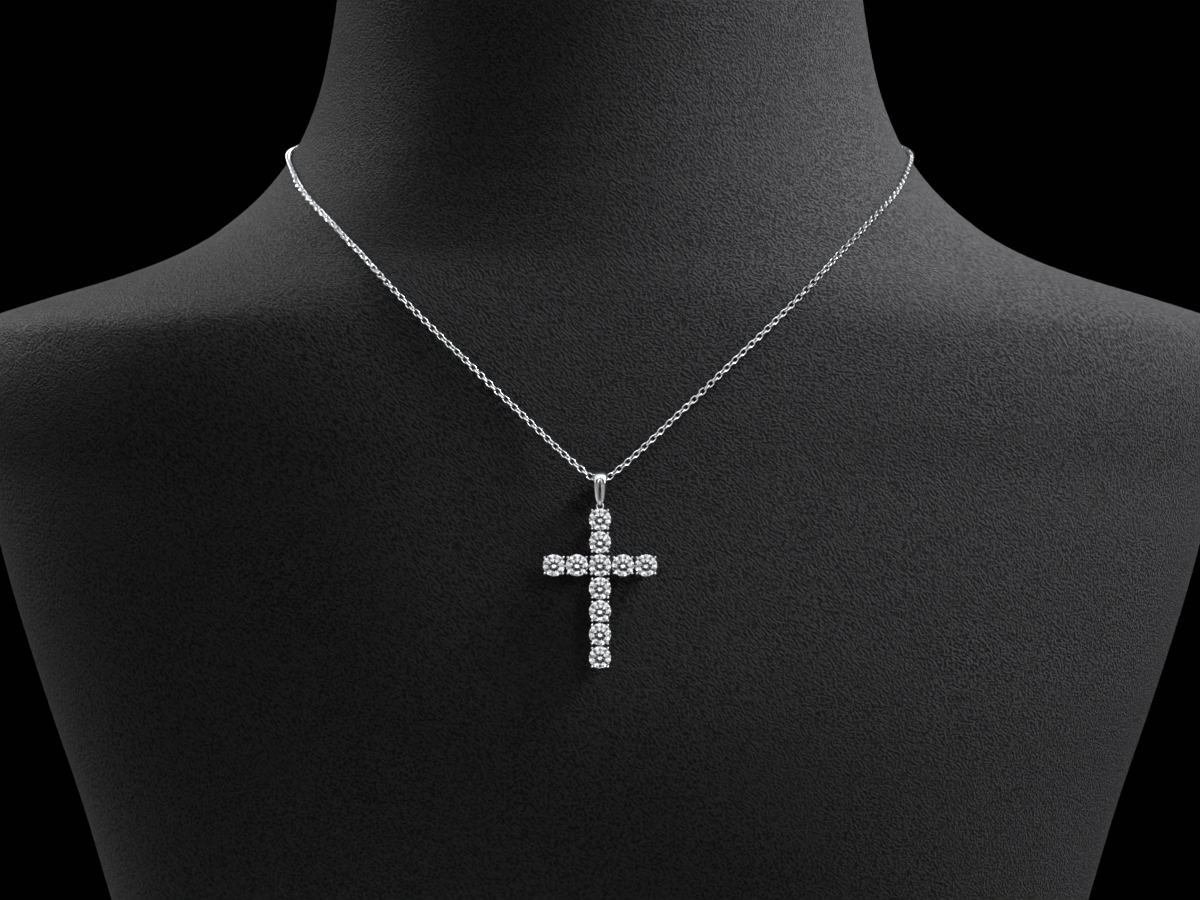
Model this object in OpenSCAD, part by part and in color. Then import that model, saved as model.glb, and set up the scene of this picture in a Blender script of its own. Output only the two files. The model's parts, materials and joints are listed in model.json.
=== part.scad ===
// Cross pendant of eleven round stones on a fine cable chain, shown on a plain display bust.
// Millimetres. Origin at the middle of the bust's base, +Z up, front towards -Y.

/* [Display bust] */
// Height of the bust from its base to the flat top of the neck
bust_h = 296; // [280:1:312]
// Width across the shoulders
bust_w = 271; // [250:1:290]
// Depth from the fullest part of the chest to the fullest part of the back
bust_d = 126.9; // [118:0.1:140]
// Reach of the chest in front of the middle of the neck
bust_front = 66.4; // [60:0.2:70]

/* [Stones] */
// Diameter of each round stone
stone_d = 4.4; // [4:0.05:4.8]
// Diameter of the flat table, across its corners
table_d = 2.55; // [2.2:0.05:2.8]
// Height of the crown above the girdle
crown_h = 0.66; // [0.5:0.02:0.8]
// Thickness of the girdle
girdle_t = 0.1; // [0.06:0.02:0.2]
// Depth of the pavilion below the girdle
pavilion_h = 1.9; // [1.6:0.05:2.1]
// Gap between the girdles of neighbouring stones
stone_gap = 0.2; // [0.15:0.05:0.5]

/* [Setting] */
// Thickness of the wire of the two rails in each basket
rail_d = 0.36; // [0.3:0.02:0.42]
// Diameter of the ring that the lower rail's wire follows
foot_d = 2.3; // [2:0.1:2.6]
// Drop from the girdle to the middle of the upper rail
rail_drop = 0.7; // [0.6:0.05:0.9]
// Thickness of the bars that join neighbouring rails
bar_d = 0.3; // [0.24:0.02:0.34]
// Thickness of a prong
prong_d = 0.56; // [0.5:0.02:0.62]
// Diameter of a prong's round head
head_d = 0.66; // [0.62:0.02:0.74]
// Reach of a prong's middle past the edge of its stone
prong_out = 0.24; // [0.2:0.02:0.3]
// Angle of the prongs from the diagonal towards the row of stones, in degrees
prong_angle = 4; // [0:0.5:6]
// Clearance between a stone and the metal that holds it
seat_clear = 0.11; // [0.08:0.01:0.14]
// Height of a stone's point above the underside of its basket
culet_h = 0.4; // [0.3:0.05:0.6]

/* [Hanging] */
// Height on the chest of the middle of the cross
cross_z = 141.7; // [134:0.1:146]
// Gap between the back of the cross and the chest
rest_gap = 0.3; // [0.2:0.05:0.5]
// Radius of the loop above the top stone, to the middle of its wire
loop_r = 0.65; // [0.6:0.01:0.75]
// Thickness of the loop's wire
loop_d = 0.4; // [0.3:0.02:0.4]
// Distance from the top stone's edge to the loop's upper wire
loop_rise = 1.15; // [1.05:0.05:1.6]
// Distance from the loop's upper wire to the middle of the chain
bail_drop = 4.4; // [4:0.1:5]
// Width of the bail at its top
bail_w = 2.6; // [2.2:0.1:3]
// Radius of the bail's upper bend, to the middle of its metal
bail_bend = 1.9; // [1.85:0.05:2.2]
// Thickness of the bail at its upper bend
bail_t = 0.7; // [0.5:0.05:0.8]
// Radius of the bail's lower bend, to the middle of its metal
bail_foot = 0.55; // [0.53:0.01:0.6]
// Clearance between the swinging bail and the chest
bail_clear = 0.2; // [0.15:0.05:0.5]

/* [Chain] */
// Thickness of the chain across its links
chain_d = 1.5; // [1.2:0.05:1.5]
// Gap between the chain and the surface that it lies on
chain_gap = 0.3; // [0.2:0.05:0.5]
// Height of the chain at the nape, as a share of the bust's height
nape_share = 0.795; // [0.78:0.005:0.82]

/* [Clasp] */
// Outer diameter of the clasp's ring
clasp_d = 5.5; // [4.5:0.1:7]
// Thickness of the clasp's wire
clasp_wire = 1.1; // [0.9:0.05:1.4]
// Outer diameter of each small eye beside the clasp
eye_d = 2; // [1.8:0.1:2.4]
// Thickness of an eye's wire
eye_wire = 0.45; // [0.35:0.05:0.5]
// Gap between an eye and the end of the chain
end_gap = 0.2; // [0.15:0.05:0.5]

/* [Hidden] */

// Places of the stones on the cross, in pitches across and up from its middle
cells = [
  [0, 2], [0, 1], [-2, 0], [-1, 0], [0, 0], [1, 0], [2, 0],
  [0, -1], [0, -2], [0, -3], [0, -4]
];
top_cell = max([for (c = cells) c.y]);
low_cell = min([for (c = cells) c.y]);
arm_cell = max([for (c = cells) c.x]);
pitch = stone_d + stone_gap;

bust_back = bust_d - bust_front;

// Sections of the bust from base to neck. Heights are shares of bust_h, half widths of half bust_w,
// depths of bust_front and bust_back. SQUARE is the power of the section's outline, 2 for an ellipse.
HEIGHT = 0; HALF = 1; FRONT = 2; BACK = 3; SQUARE = 4;
sections = [
  [0.000, 0.598, 0.768, 0.727, 2.35],
  [0.081, 0.653, 0.828, 0.769, 2.35],
  [0.162, 0.709, 0.904, 0.818, 2.35],
  [0.243, 0.763, 0.964, 0.868, 2.35],
  [0.307, 0.805, 0.994, 0.901, 2.35],
  [0.378, 0.858, 1.000, 0.934, 2.35],
  [0.449, 0.908, 0.976, 0.959, 2.35],
  [0.500, 0.939, 0.950, 0.975, 2.35],
  [0.541, 0.964, 0.928, 0.992, 2.30],
  [0.574, 0.985, 0.908, 1.000, 2.30],
  [0.605, 1.000, 0.887, 1.000, 2.25],
  [0.632, 0.991, 0.866, 0.992, 2.20],
  [0.649, 0.964, 0.852, 0.983, 2.15],
  [0.665, 0.864, 0.839, 0.967, 2.10],
  [0.679, 0.761, 0.827, 0.950, 2.05],
  [0.693, 0.677, 0.816, 0.934, 2.00],
  [0.707, 0.616, 0.807, 0.917, 2.00],
  [0.722, 0.570, 0.798, 0.901, 2.00],
  [0.736, 0.535, 0.791, 0.886, 2.00],
  [0.750, 0.507, 0.783, 0.873, 2.00],
  [0.765, 0.483, 0.777, 0.860, 2.00],
  [0.779, 0.465, 0.771, 0.848, 2.00],
  [0.808, 0.440, 0.762, 0.830, 2.00],
  [0.836, 0.425, 0.756, 0.815, 2.00],
  [0.879, 0.410, 0.753, 0.803, 2.00],
  [0.932, 0.402, 0.750, 0.797, 2.00],
  [0.980, 0.398, 0.747, 0.793, 2.00],
  [0.996, 0.388, 0.725, 0.769, 2.00],
  [1.000, 0.362, 0.675, 0.714, 2.00]
];
section_parts = 2;
bust_sides = 56;

// Route of the chain from the bail round to the nape, on one side. SWEEP is the angle round the
// neck from the front, RISE the height above the lowest point as a share of the way to the nape,
// LIFT the chain's distance from the surface: 1 inside the bail, 0 where it lies on the bust.
SWEEP = 0; RISE = 1; LIFT = 2;
route = [
  [0, 0, 1], [0.45, 0.0008, 1], [0.9, 0.0033, 1], [1.3, 0.0072, 0.98], [2.5, 0.021, 0.94],
  [5, 0.051, 0.8], [8, 0.089, 0.5], [10.6, 0.123, 0.25], [13.4, 0.16, 0.08], [18.9, 0.233, 0],
  [24.2, 0.307, 0], [29.4, 0.38, 0], [34.6, 0.455, 0], [40, 0.53, 0], [45, 0.592, 0],
  [50, 0.646, 0], [54, 0.688, 0], [58, 0.724, 0], [63, 0.765, 0], [69, 0.81, 0],
  [75, 0.85, 0], [82, 0.882, 0], [92, 0.914, 0], [105, 0.944, 0], [120, 0.966, 0],
  [140, 0.985, 0], [160, 0.996, 0], [180, 1, 0]
];
// Widest sweep between two rings of the chain, in degrees
ring_sweep = 7;
chain_sides = 8;

// Form of the bail by height, 0 at the loop and 1 at the chain. OUTER and SLIT are half widths of
// the metal and of the slit in it, as shares of half bail_w, and THICK is a share of bail_t.
OUTER = 1; SLIT = 2; THICK = 3;
bail_form = [
  [-0.20, 0.19, 0.00, 0.57],
  [-0.02, 0.21, 0.00, 0.60],
  [ 0.04, 0.42, 0.02, 0.63],
  [ 0.10, 0.58, 0.05, 0.67],
  [ 0.20, 0.68, 0.09, 0.72],
  [ 0.38, 0.78, 0.14, 0.81],
  [ 0.60, 0.87, 0.16, 0.90],
  [ 0.85, 0.93, 0.14, 0.96],
  [ 1.10, 0.97, 0.08, 1.00],
  [ 1.25, 0.99, 0.00, 1.00],
  [ 1.60, 1.00, 0.00, 1.00]
];
// The slit is pointed at both ends, which lie at these levels
slit_from = 0.04;
slit_to = 1.24;
slit_steps = 12;
bend_steps = 16;
leg_steps = 6;
foot_steps = 6;
// Each lobe's middle as a share of the half width, the angles of the points round it, and the
// thickness where the lobes meet as a share of theirs
lobe_at = 0.46;
lobe_turns = [-75, -45, -15, 15, 45, 75];
waist_share = 0.694;

// Value of column col where column 0 of table t is x, on a smooth curve through the rows
function row_at(t, x, i = 0) = i >= len(t) - 2 || x < t[i + 1][0] ? i : row_at(t, x, i + 1);
function slope(t, col, i) =
  let (a = max(i - 1, 0), b = min(i + 1, len(t) - 1)) (t[b][col] - t[a][col]) / (t[b][0] - t[a][0]);
function smooth(t, x, col) =
  let (
    i = row_at(t, x), d = t[i + 1][0] - t[i][0], s = min(max((x - t[i][0]) / d, 0), 1),
    p = t[i][col], q = t[i + 1][col], m = slope(t, col, i) * d, n = slope(t, col, i + 1) * d
  )
  p + m * s + (3 * (q - p) - 2 * m - n) * s * s + (m + n - 2 * (q - p)) * s * s * s;

// Outline of the bust: its radius in the direction that lies angle round from the front, at height z
function bust_r(angle, z) =
  let (
    h = z / bust_h, depth = cos(angle) > 0 ? bust_front * smooth(sections, h, FRONT)
      : bust_back * smooth(sections, h, BACK),
    half = bust_w / 2 * smooth(sections, h, HALF), power = smooth(sections, h, SQUARE)
  )
  pow(pow(abs(sin(angle)) / half, power) + pow(abs(cos(angle)) / depth, power), -1 / power);
function outward(angle) = [sin(angle), -cos(angle), 0];
function bust_at(angle, z) = bust_r(angle, z) * outward(angle) + [0, 0, z];
function unit(v) = v / norm(v);
near_angle = 0.5;
near_rise = bust_h / 600;
function bust_normal(angle, z) = unit(cross(
  bust_at(angle + near_angle, z) - bust_at(angle - near_angle, z),
  bust_at(angle, z + near_rise) - bust_at(angle, z - near_rise)));

// Point at height z that lies off the surface by lift, measured square to it
function off_bust(angle, z, lift) =
  bust_at(angle, z) + outward(angle) * lift / (bust_normal(angle, z) * outward(angle));

// Levels of a basket, above its underside
rail_r = rail_d / 2;
foot_r = foot_d / 2;
stone_r = stone_d / 2;
girdle_h = culet_h + pavilion_h;
rail_h = girdle_h - rail_drop;
head_h = girdle_h + girdle_t + seat_clear;
head_at = stone_r + prong_out;
prong_slope = (head_at - foot_r) / (head_h - rail_r);
rail_at = foot_r + prong_slope * (rail_h - rail_r);

// The cross lies against the chest, square to it between its lowest and highest stone
function chest_y(z) = -bust_r(0, z);
chest_low = cross_z + low_cell * pitch;
chest_high = cross_z + top_cell * pitch;
lean = atan((chest_y(chest_high) - chest_y(chest_low)) / (chest_high - chest_low));
cross_foot = [0, chest_y(cross_z), cross_z];
along = [0, sin(lean), cos(lean)];
away = [0, -cos(lean), sin(lean)];

// Places on the pendant, up from the middle stone and off the chest
loop_up = top_cell * pitch + stone_r + loop_rise;
loop_off = rest_gap + rail_h;
bail_reach = bail_bend + bail_t / 2;
chain_r = chain_d / 2;
loop_axis = cross_foot + along * loop_up + away * loop_off;
chain_low = loop_axis.z + bail_drop * cos(lean);
chain_lift = bail_reach + bail_clear;
chain_axis = off_bust(0, chain_low, chain_lift);
hang = chain_axis - loop_axis;
hang_len = norm(hang);
hang_tilt = atan2(hang * away, hang * along);

// Clasp at the nape, and the sweep at which the chain meets its eyes
nape_z = nape_share * bust_h;
nape_out = bust_normal(180, nape_z);
nape_lean = atan2(nape_out.z, nape_out.y);
clasp_half = clasp_d / 2 + eye_d - eye_wire;
nape_lift = clasp_wire / 2 + chain_gap;
sweep_end = 180 - atan((clasp_half + end_gap) / (bust_r(180, nape_z) + nape_lift));

// Places a piece of the pendant, drawn with x across, y up the chest and z off the chest
module on_chest() {
  translate(cross_foot) rotate([90 - lean, 0, 0]) children();
}

// Faces of a closed or open run of rings that each have n points
function ring_faces(rings, n, closed) = [
  for (i = [0 : rings - (closed ? 1 : 2)]) for (j = [0 : n - 1])
    let (k = (j + 1) % n, m = (i + 1) % rings)
      each [[i * n + j, m * n + k, i * n + k], [i * n + j, m * n + j, m * n + k]]
];
function cap_faces(rings, n) = [
  [for (j = [0 : n - 1]) j],
  [for (j = [n - 1 : -1 : 0]) (rings - 1) * n + j]
];

module bust() {
  last = len(sections) - 1;
  heights = [
    for (i = [0 : last - 1]) for (s = [0 : section_parts - 1])
      sections[i][HEIGHT] + (sections[i + 1][HEIGHT] - sections[i][HEIGHT]) * s / section_parts,
    sections[last][HEIGHT]
  ];
  points = [
    for (h = heights) for (j = [0 : bust_sides - 1]) bust_at(360 * j / bust_sides, h * bust_h)
  ];
  color("#222224")
    polyhedron(points,
      concat(ring_faces(len(heights), bust_sides, false), cap_faces(len(heights), bust_sides)));
}

// Middle of the chain at a signed sweep from the front
function chain_at(sweep) =
  let (
    turn = abs(sweep), z = chain_low + (nape_z - chain_low) * smooth(route, turn, RISE),
    flat = chain_r + chain_gap,
    p = off_bust(turn, z, flat + (chain_lift - flat) * smooth(route, turn, LIFT))
  )
  [sign(sweep) * p.x, p.y, p.z];

// Cross-section of the chain at a point of its route, square to the way it runs
function chain_ring(p, way, out) =
  let (a = unit(out - way * (out * way)), b = cross(way, a))
    [for (j = [0 : chain_sides - 1])
      let (t = 360 * (j + 0.5) / chain_sides) p + chain_r * (a * cos(t) + b * sin(t))];

module chain() {
  half = concat(
    [for (i = [0 : len(route) - 2])
      let (a = route[i][SWEEP], b = min(route[i + 1][SWEEP], sweep_end), n = ceil((b - a) / ring_sweep))
        for (s = [0 : n - 1]) a + (b - a) * s / n],
    [sweep_end]);
  last = len(half) - 1;
  sweeps = concat([for (i = [last : -1 : 1]) -half[i]], half);
  points = [for (s = sweeps) chain_at(s)];
  end = len(points) - 1;
  rings = [for (i = [0 : end]) each chain_ring(
    points[i], unit(points[min(i + 1, end)] - points[max(i - 1, 0)]), outward(sweeps[i]))];
  color("#c9ccd2")
    polyhedron(rings,
      concat(ring_faces(len(points), chain_sides, false), cap_faces(len(points), chain_sides)));
}

module clasp() {
  eye_r = (eye_d - eye_wire) / 2;
  color("#c9ccd2")
    translate(off_bust(180, nape_z, nape_lift)) rotate([90 + nape_lean, 0, 0]) {
      rotate_extrude($fn = 64)
        translate([(clasp_d - clasp_wire) / 2, 0]) circle(d = clasp_wire, $fn = 24);
      for (side = [-1, 1])
        translate([side * (clasp_d / 2 + eye_r - eye_wire / 2), 0, 0])
          rotate_extrude($fn = 40) translate([eye_r, 0]) circle(d = eye_wire, $fn = 24);
    }
}

// Middle line of the bail as [across the loop, up], round from the front of the upper bend
function arc(r, up, from, to, n) =
  [for (i = [0 : n]) let (t = from + (to - from) * i / n) [r * sin(t), up + r * cos(t)]];
function between(a, b, n) = [for (i = [1 : n - 1]) a + (b - a) * i / n];
function bail_line() =
  let (
    g = asin((bail_bend - bail_foot) / hang_len),
    bend = arc(bail_bend, hang_len, -90 - g, 90 + g, bend_steps),
    foot = arc(bail_foot, 0, 90 + g, 270 - g, foot_steps)
  )
  concat(bend, between(bend[bend_steps], foot[0], leg_steps), foot,
    between(foot[foot_steps], bend[0], leg_steps));

function bail_half(level) = bail_w / 2 * smooth(bail_form, level, OUTER);

// Outline of the band: two round lobes side by side that run together at the middle
function band_outline(half, thick) =
  let (
    reach = half * (1 - lobe_at), waist = thick * waist_share,
    lobe = [for (t = lobe_turns) [half * lobe_at + reach * cos(t), thick * sin(t)]]
  )
  concat([[0, -waist]], lobe, [[0, waist]],
    [for (i = [len(lobe) - 1 : -1 : 0]) [-lobe[i].x, lobe[i].y]]);

module bail_band() {
  line = bail_line();
  n = len(line);
  sides = 2 * len(lobe_turns) + 2;
  points = [
    for (i = [0 : n - 1]) let (
      way = unit(line[(i + 1) % n] - line[(i + n - 1) % n]), out = [-way.y, way.x],
      level = line[i].y / hang_len
    )
      for (p = band_outline(bail_half(level), smooth(bail_form, level, THICK) * bail_t / 2))
        let (q = line[i] + out * p.y) [p.x, q.y, q.x]
  ];
  polyhedron(points, ring_faces(n, sides, true));
}

// Slit between the lobes, through both legs of the bail
module bail_slit() {
  levels = [for (i = [1 : slit_steps - 1]) slit_from + (slit_to - slit_from) * i / slit_steps];
  side = [for (h = levels) [bail_w / 2 * smooth(bail_form, h, SLIT), h * hang_len]];
  points = concat([[0, slit_from * hang_len]], side, [[0, slit_to * hang_len]],
    [for (i = [len(side) - 1 : -1 : 0]) [-side[i].x, side[i].y]]);
  translate([0, 0, -2 * bail_reach]) linear_extrude(4 * bail_reach) polygon(points);
}

module bail() {
  color("#d3d6db")
    translate(loop_axis) rotate([90 - lean + hang_tilt, 0, 0]) difference() {
      bail_band();
      bail_slit();
    }
}

// The round seat that a stone needs in the metal, grown by clear all round
module seat(clear) {
  pavilion = pavilion_h / stone_r;
  crown = crown_h / (stone_r - table_d / 2);
  drop = clear * sqrt(1 + pavilion * pavilion);
  rise = clear * sqrt(1 + crown * crown);
  edge = stone_r + clear;
  peak = girdle_t + crown * stone_r + rise;
  rotate_extrude($fn = 64)
    polygon([
      [0, -pavilion_h - drop],
      [edge, -pavilion_h - drop + edge * pavilion],
      [edge, peak - edge * crown],
      [0, peak]
    ]);
}

// One basket: two rails and four prongs with round heads, cut out for its stone
module basket(turn) {
  reach = head_at - foot_r;
  rise = head_h - rail_r;
  difference() {
    union() {
      translate([0, 0, rail_r]) rail(foot_r);
      translate([0, 0, rail_h]) rail(rail_at);
      for (a = [turn, 180 - turn, 180 + turn, -turn])
        rotate([0, 0, a]) translate([foot_r, 0, rail_r]) rotate([0, atan2(reach, rise), 0]) {
          cylinder(h = norm([reach, rise]), d = prong_d, $fn = 24);
          translate([0, 0, norm([reach, rise])]) sphere(d = head_d, $fn = 32);
        }
    }
    translate([0, 0, girdle_h]) seat(seat_clear);
  }
}

module rail(r) {
  rotate_extrude($fn = 48) translate([r, 0]) circle(d = rail_d, $fn = 24);
}

// Bar between the rails of a cell and of its neighbour, in the direction a, at one level
module bar(cell, a, h, r) {
  translate([cell.x * pitch, cell.y * pitch, h]) rotate([0, 0, a]) translate([r, 0, 0])
    rotate([0, 90, 0]) cylinder(h = pitch - 2 * r, d = bar_d, $fn = 24);
}

// Loop over the top stone, with the short neck that joins it to the stone's upper rail
module loop() {
  middle = loop_up - loop_r;
  translate([0, middle, rail_h])
    rotate_extrude($fn = 48) translate([loop_r, 0]) circle(d = loop_d, $fn = 24);
  neck_from = top_cell * pitch + rail_at;
  translate([0, neck_from, rail_h]) rotate([-90, 0, 0])
    cylinder(h = middle - loop_r - neck_from, d = bar_d, $fn = 24);
}

module setting() {
  color("#d3d6db")
    on_chest() translate([0, 0, rest_gap]) {
      for (c = cells) translate([c.x * pitch, c.y * pitch, 0])
        basket(45 + prong_angle * (c.y != 0 ? 1 : c.x != 0 ? -1 : 0));
      for (level = [[rail_r, foot_r], [rail_h, rail_at]]) {
        for (i = [-arm_cell : arm_cell - 1]) bar([i, 0], 0, level[0], level[1]);
        for (i = [low_cell : top_cell - 1]) bar([0, i], 90, level[0], level[1]);
      }
      loop();
    }
}

// Round brilliant: a table, 8 stars, 8 kites and 16 triangles on the crown, 16 and 8 below.
// The lower corners of the pavilion's 16 triangles lie at a share of the way out to the girdle.
module brilliant() {
  low_share = 0.25;
  table_r = table_d / 2;
  crown = crown_h / (stone_r - table_r);
  pavilion = pavilion_h / stone_r;
  star_r = (table_r + stone_r) / 2;
  star_z = girdle_t + crown_h - (star_r * cos(22.5) - table_r) * crown;
  low_r = stone_r * low_share;
  low_z = (low_r * cos(22.5) - stone_r) * pavilion;
  points = concat(
    [for (i = [0 : 7]) [table_r * cos(45 * i), table_r * sin(45 * i), girdle_t + crown_h]],
    [for (i = [0 : 7]) [star_r * cos(45 * i + 22.5), star_r * sin(45 * i + 22.5), star_z]],
    [for (i = [0 : 15]) [stone_r * cos(22.5 * i), stone_r * sin(22.5 * i), girdle_t]],
    [for (i = [0 : 15]) [stone_r * cos(22.5 * i), stone_r * sin(22.5 * i), 0]],
    [for (i = [0 : 7]) [low_r * cos(45 * i + 22.5), low_r * sin(45 * i + 22.5), low_z]],
    [[0, 0, -pavilion_h]]);
  star = 8;
  upper = 16;
  lower = 32;
  keel = 48;
  culet = 56;
  faces = concat(
    [[for (i = [7 : -1 : 0]) i]],
    [for (i = [0 : 7]) let (n = (i + 1) % 8, p = (i + 7) % 8, a = 2 * i, b = a + 1, c = (a + 2) % 16)
      each [
        [i, n, star + i],
        [i, star + i, upper + a], [i, upper + a, star + p],
        [star + i, upper + b, upper + a], [star + i, upper + c, upper + b],
        [keel + i, lower + a, lower + b], [keel + i, lower + b, lower + c],
        [culet, lower + a, keel + i], [culet, keel + p, lower + a]
      ]],
    [for (i = [0 : 15]) let (n = (i + 1) % 16)
      each [[upper + i, upper + n, lower + n], [upper + i, lower + n, lower + i]]]);
  polyhedron(points, faces);
}

module stone(number) {
  cell = cells[number - 1];
  color("#f4f6fa")
    on_chest() translate([cell.x * pitch, cell.y * pitch, rest_gap + girdle_h]) brilliant();
}

bust();
chain();
clasp();
bail();
setting();
stone(1);  // stone_01
stone(2);  // stone_02
stone(3);  // stone_03
stone(4);  // stone_04
stone(5);  // stone_05
stone(6);  // stone_06
stone(7);  // stone_07
stone(8);  // stone_08
stone(9);  // stone_09
stone(10);  // stone_10
stone(11);  // stone_11
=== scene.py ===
"""Dresses the cross pendant, the chain that it hangs on and the display bust that carries them.

Sizes are in millimetres, as in the part's own source, and a mesh is scaled to metres when it is done.
"""
import json
import logging
import math
from dataclasses import dataclass, field
from enum import Enum
from typing import Callable, Iterable, Sequence

import bmesh
import bpy
from mathutils import Matrix, Vector


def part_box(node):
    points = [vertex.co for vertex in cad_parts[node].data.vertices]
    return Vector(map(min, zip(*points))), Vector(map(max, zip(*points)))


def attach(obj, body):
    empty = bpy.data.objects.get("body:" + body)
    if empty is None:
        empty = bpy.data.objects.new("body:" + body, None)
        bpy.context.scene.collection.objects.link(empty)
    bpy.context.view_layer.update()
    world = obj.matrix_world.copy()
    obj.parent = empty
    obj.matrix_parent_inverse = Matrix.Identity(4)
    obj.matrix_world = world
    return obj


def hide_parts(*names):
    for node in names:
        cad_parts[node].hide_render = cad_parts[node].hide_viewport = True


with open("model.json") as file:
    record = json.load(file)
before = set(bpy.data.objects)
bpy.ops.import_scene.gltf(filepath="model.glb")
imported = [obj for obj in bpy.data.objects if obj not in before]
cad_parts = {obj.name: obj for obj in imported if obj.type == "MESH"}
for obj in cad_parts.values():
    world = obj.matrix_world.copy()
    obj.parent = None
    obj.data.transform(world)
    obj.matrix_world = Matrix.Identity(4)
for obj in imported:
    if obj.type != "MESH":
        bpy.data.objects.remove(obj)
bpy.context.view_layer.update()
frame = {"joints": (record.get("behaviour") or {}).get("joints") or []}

MM = 0.001
# Points nearer than this, in millimetres, are one point, and a cut this near to a corner goes through it
TOUCH = 1e-4
CUT_TOUCH = 1e-5
ACROSS = Vector((1, 0, 0))
log = logging.getLogger("pendant")


class Slot(Enum):
    """Material slots of the record."""

    LEATHERETTE = "leatherette"
    METAL = "white_metal"
    STONE = "stone"


class Body(Enum):
    """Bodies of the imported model."""

    ROOT = "root"
    BAIL = "bail"
    CROSS = "cross"


class Join(Enum):
    """Ways to combine two closed meshes."""

    UNION = "UNION"
    CUT = "DIFFERENCE"


Row = Sequence[float]
BMesh = bmesh.types.BMesh
Piece = bpy.types.Object
Socket = bpy.types.NodeSocket
Material = bpy.types.Material


@dataclass(frozen=True)
class Curve:
    """A smooth curve through the rows of a table, whose first column is where each row lies."""

    rows: tuple[Row, ...]

    def _slope(self, i: int, column: int) -> float:
        """Slope of the curve at row i."""
        a, b = self.rows[max(i - 1, 0)], self.rows[min(i + 1, len(self.rows) - 1)]
        return (b[column] - a[column]) / (b[0] - a[0])

    def at(self, x: float, column: int) -> float:
        """Reads the curve.

        Args:
            x: Where to read it, in the first column's terms.
            column: The column to read.

        Returns:
            The value there, held at the ends of the table.
        """
        i = 0
        while i < len(self.rows) - 2 and x >= self.rows[i + 1][0]:
            i += 1
        p, q = self.rows[i], self.rows[i + 1]
        d = q[0] - p[0]
        s = min(max((x - p[0]) / d, 0), 1)
        rise = q[column] - p[column]
        m, n = self._slope(i, column) * d, self._slope(i + 1, column) * d
        return p[column] + m * s + (3 * rise - 2 * m - n) * s * s + (m + n - 2 * rise) * s**3


def hinge(name: str) -> Vector:
    """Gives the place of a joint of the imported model.

    Args:
        name: The joint's name.

    Returns:
        Its place in millimetres.
    """
    found = next(joint for joint in frame["joints"] if joint["name"] == name)
    return Vector(found["pos_m"]) / MM


def placing(origin: Vector, up: Vector) -> Matrix:
    """Frame of a part of the pendant: x across, y up and z off the chest.

    Args:
        origin: The frame's origin.
        up: The direction of its y axis.

    Returns:
        The matrix that takes the part's own coordinates to the object's.
    """
    y = up.normalized()
    z = ACROSS.cross(y)
    turned = Matrix((ACROSS, y, z)).transposed().to_4x4()
    return Matrix.Translation(origin) @ turned


def spin(work: BMesh, outline: list, steps: int) -> None:
    """Spins an outline's vertices and edges once about the z axis."""
    bmesh.ops.spin(work, geom=outline, cent=(0, 0, 0), axis=(0, 0, 1), angle=math.tau, steps=steps,
                   use_merge=True)


def finished(work: BMesh, before: set, seam: float | None = None) -> list:
    """Closes the seam of what was added last and turns its faces outwards.

    Args:
        work: The mesh.
        before: Its vertices before that was added.
        seam: Distance within which points are merged, or None if there is no seam.

    Returns:
        The added vertices.
    """
    if seam is not None:
        bmesh.ops.remove_doubles(work, verts=[v for v in work.verts if v not in before], dist=seam)
    verts = [v for v in work.verts if v not in before]
    bmesh.ops.recalc_face_normals(work, faces=list({face for vert in verts for face in vert.link_faces}))
    return verts


def add_ring(work: BMesh, radius: float, wire: float, place: Matrix, steps: int, sides: int) -> None:
    """Spins a round wire into a closed ring.

    Args:
        work: The mesh that gets the ring.
        radius: Radius to the middle of the wire.
        wire: Thickness of the wire.
        place: Where the ring goes; its axis is z.
        steps: Steps of the spin.
        sides: Sides of the wire.
    """
    before = set(work.verts)
    half_turn = Matrix.Rotation(math.radians(180) / steps, 4, "Z")
    upright = half_turn @ Matrix.Translation((radius, 0, 0)) @ Matrix.Rotation(math.radians(90), 4, "X")
    circle = bmesh.ops.create_circle(work, segments=sides, radius=wire / 2, matrix=upright)["verts"]
    spin(work, [*circle, *{edge for vert in circle for edge in vert.link_edges}], steps)
    bmesh.ops.transform(work, matrix=place, verts=finished(work, before))


def add_turned(work: BMesh, profile: Sequence[Row], place: Matrix, steps: int) -> None:
    """Turns a profile about the z axis into a closed form.

    Args:
        work: The mesh that gets the form.
        profile: Radius and height of the profile's points, from the axis back to the axis.
        place: Where the form goes.
        steps: Steps of the turn.
    """
    before = set(work.verts)
    corners = [work.verts.new((radius, 0, height)) for radius, height in profile]
    edges = [work.edges.new(pair) for pair in zip(corners, corners[1:])]
    spin(work, [*corners, *edges], steps)
    bmesh.ops.transform(work, matrix=place, verts=finished(work, before, TOUCH))


def add_rod(work: BMesh, start: Vector, end: Vector, width: float, sides: int) -> None:
    """Adds a straight round rod.

    Args:
        work: The mesh that gets the rod.
        start: Middle of one end.
        end: Middle of the other end.
        width: Diameter of the rod.
        sides: Sides of the rod.
    """
    way = end - start
    turned = way.to_track_quat("Z", "X").to_matrix().to_4x4()
    bmesh.ops.create_cone(work, cap_ends=True, segments=sides, radius1=width / 2, radius2=width / 2,
                          depth=way.length, matrix=Matrix.Translation((start + end) / 2) @ turned)


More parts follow.
